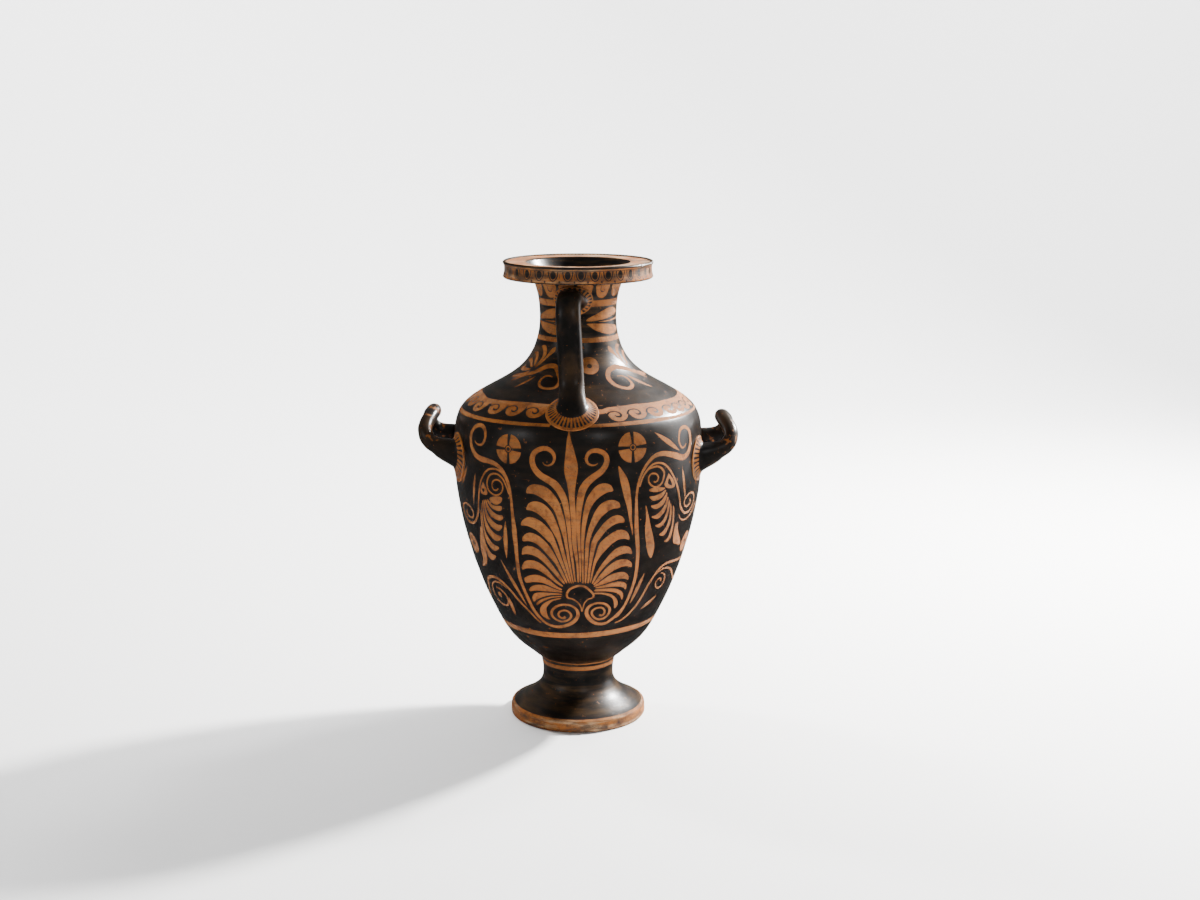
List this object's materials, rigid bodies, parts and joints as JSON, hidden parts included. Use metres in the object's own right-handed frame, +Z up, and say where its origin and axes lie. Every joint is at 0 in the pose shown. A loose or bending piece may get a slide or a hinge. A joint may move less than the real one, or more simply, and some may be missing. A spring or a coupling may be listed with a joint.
{
  "type": "hydria",
  "caption": "Hollow fired-clay water jar on a stemmed foot, with a flat overhanging lip, an upright pouring handle behind the neck and upturned carrying handles at the sides.",
  "frame": {"origin": "centre of the resting ring under the foot, on the jar's own axis", "axes": "+Z up along the jar's axis; the upright handle faces -Y; the carrying handles lie at -X and +X"},
  "size_m": [0.3056, 0.2396, 0.45],
  "materials": {
    "black_gloss_clay": "semi-gloss black slip with ornament reserved in orange clay"
  },
  "bodies": {
    "root": {"hydria": "black_gloss_clay"}
  },
  "joints": []
}
